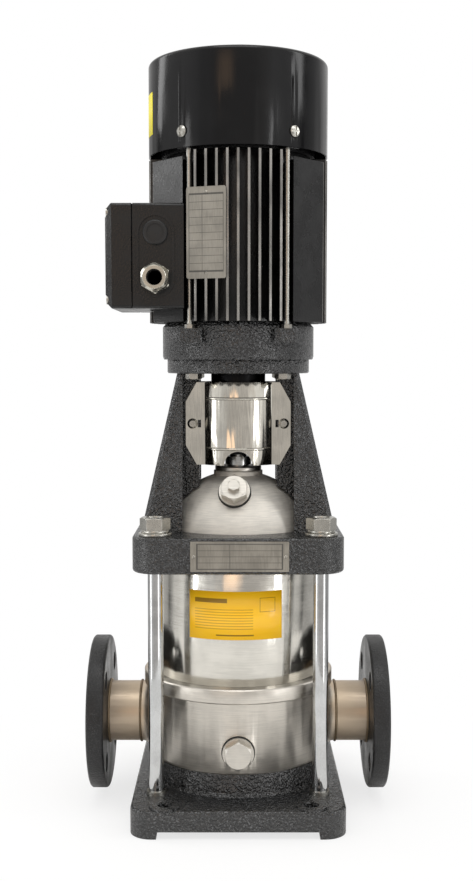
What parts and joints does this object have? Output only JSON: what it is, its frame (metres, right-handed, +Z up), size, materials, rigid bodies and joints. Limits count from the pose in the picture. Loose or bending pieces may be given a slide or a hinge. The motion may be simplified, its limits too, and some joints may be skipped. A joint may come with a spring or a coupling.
{
  "type": "vertical multistage pump",
  "caption": "Vertical in-line multistage pump: cast iron base, stainless casing and sleeve, guarded coupling and a flange-mounted fan-cooled motor.",
  "frame": {"origin": "centre of the footprint, on the floor under the feet", "axes": "+Z up along the shaft, +X from the inlet to the outlet port, -Y towards the service side with the drain plug"},
  "size_m": [0.28, 0.244, 0.6928],
  "materials": {
    "cast_iron_black": "hammered gloss enamel, black",
    "cast_iron_semi": "smooth semi-gloss black enamel",
    "flange_black": "black painted cast iron",
    "stainless_satin": "satin stainless steel",
    "stainless_mirror": "polished stainless steel",
    "zinc_plated": "bright zinc plated steel",
    "nickel_brass": "nickel plated brass",
    "rubber_black": "matt EPDM rubber",
    "black_plastic": "moulded polyamide",
    "shaft_steel": "ground stainless steel",
    "sintered_black": "blackened steel",
    "electrical_steel": "laminated electrical steel",
    "copper_winding": "varnished copper winding",
    "cast_aluminium": "die cast aluminium",
    "ceramic_white": "sintered alumina",
    "brass": "machined brass"
  },
  "bodies": {
    "pump_body": {"base_plate": "cast_iron_black", "base_casing": "stainless_satin", "inlet_flange": "flange_black", "outlet_flange": "flange_black", "drain_plug": "stainless_satin", "drain_plug_seal": "rubber_black", "outer_sleeve": "stainless_mirror", "sleeve_orings": "rubber_black", "pump_head": "stainless_satin", "priming_plug": "stainless_satin", "priming_plug_seal": "rubber_black", "stay_bolts": "stainless_mirror", "stay_bolt_washers": "zinc_plated", "stay_bolt_nuts": "zinc_plated", "stay_bolt_foot_washers": "zinc_plated", "motor_stool": "cast_iron_black", "motor_flange_bolts": "zinc_plated", "coupling_guard_front": "stainless_mirror", "coupling_guard_rear": "stainless_mirror", "guard_screws": "stainless_satin", "head_nameplate": "stainless_satin", "drive_end_shield": "cast_iron_black", "stator_frame": "cast_iron_semi", "fan_end_shield": "cast_iron_semi", "motor_tie_bolts": "zinc_plated", "fan_cover": "cast_iron_semi", "fan_cover_screws": "zinc_plated", "terminal_box": "cast_iron_semi", "terminal_box_lid": "cast_iron_semi", "terminal_box_screws": "zinc_plated", "terminal_board": "black_plastic", "cable_gland": "nickel_brass", "gland_nut": "nickel_brass", "gland_seal": "rubber_black", "blanking_plug": "black_plastic", "motor_nameplate": "stainless_satin", "stator_core": "electrical_steel", "stator_windings": "copper_winding", "bearing_outer_rings": "shaft_steel", "bearing_balls": "shaft_steel", "suction_bowl": "stainless_satin", "suction_cover": "stainless_satin", "stage_chambers": "stainless_satin", "outlet_plate": "stainless_satin", "guide_bush": "ceramic_white", "stage_straps": "stainless_satin", "seal_cover": "stainless_satin", "seal_seat": "ceramic_white"},
    "rotor": {"pump_shaft": "shaft_steel", "impellers": "stainless_satin", "shaft_spacers": "stainless_satin", "shaft_seal": "shaft_steel", "coupling_half_front": "sintered_black", "coupling_half_rear": "sintered_black", "coupling_fasteners": "zinc_plated", "motor_shaft": "shaft_steel", "rotor_core": "cast_aluminium", "cooling_fan": "black_plastic", "bearing_inner_rings": "shaft_steel"},
    "vent_screw_body": {"vent_screw": "stainless_satin"}
  },
  "joints": [
    {"name": "pump_rotor", "type": "hinge", "parent": "pump_body", "child": "rotor", "pos_m": [0, 0, 0.3], "axis": [0, 0, 1], "continuous": true},
    {"name": "vent_screw_turn", "type": "hinge", "parent": "pump_body", "child": "vent_screw_body", "pos_m": [-0.00325, -0.0517, 0.2976], "axis": [-0.0544, -0.8643, 0.5], "range_deg": [0, 720]}
  ]
}
